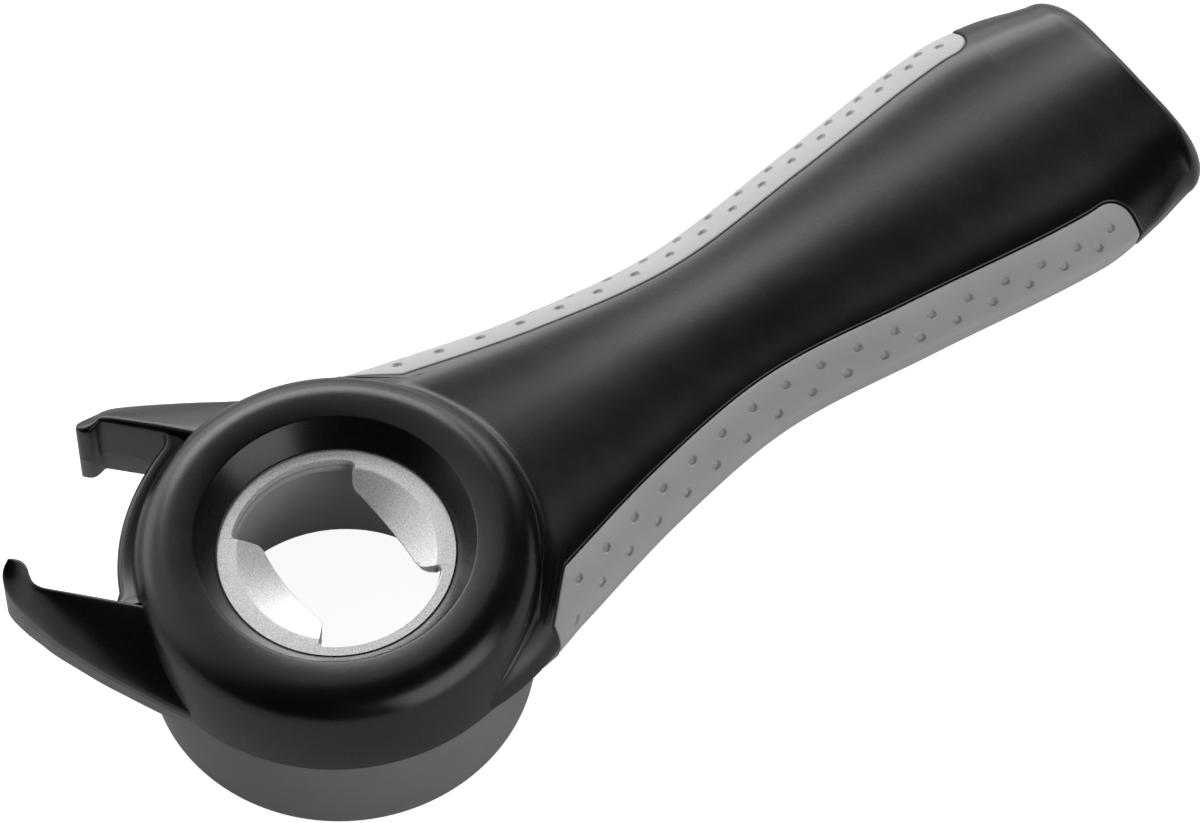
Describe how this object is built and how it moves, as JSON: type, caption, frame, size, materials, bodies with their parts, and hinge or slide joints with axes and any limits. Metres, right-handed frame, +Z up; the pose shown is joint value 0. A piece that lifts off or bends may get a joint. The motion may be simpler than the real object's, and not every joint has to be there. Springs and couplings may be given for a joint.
{
  "type": "hand opener for caps and lids",
  "caption": "Hand-held opener with a round dome head, toothed steel cap ring, ribless rubber screw-cap cone, hooked lid horns and a waisted handle with dimpled soft side grips.",
  "frame": {"origin": "head axis at the plane of the cup's open rim", "axes": "+X along the handle to its end, +Z up through the cap lifter, +Y to the side of the horns"},
  "size_m": [0.21, 0.0799, 0.0369],
  "materials": {
    "black_plastic": "satin",
    "grey_plastic": "fine matte",
    "cone_rubber": "smooth satin",
    "steel": "ground and grainy",
    "grip_rubber": "soft matte with moulded dimples"
  },
  "bodies": {
    "root": {"upper_shell": "black_plastic", "handle_underside": "grey_plastic", "lid_cup": "grey_plastic", "cap_cone": "cone_rubber", "cap_lifter": "steel", "grip_left": "grip_rubber", "grip_right": "grip_rubber"}
  },
  "joints": []
}
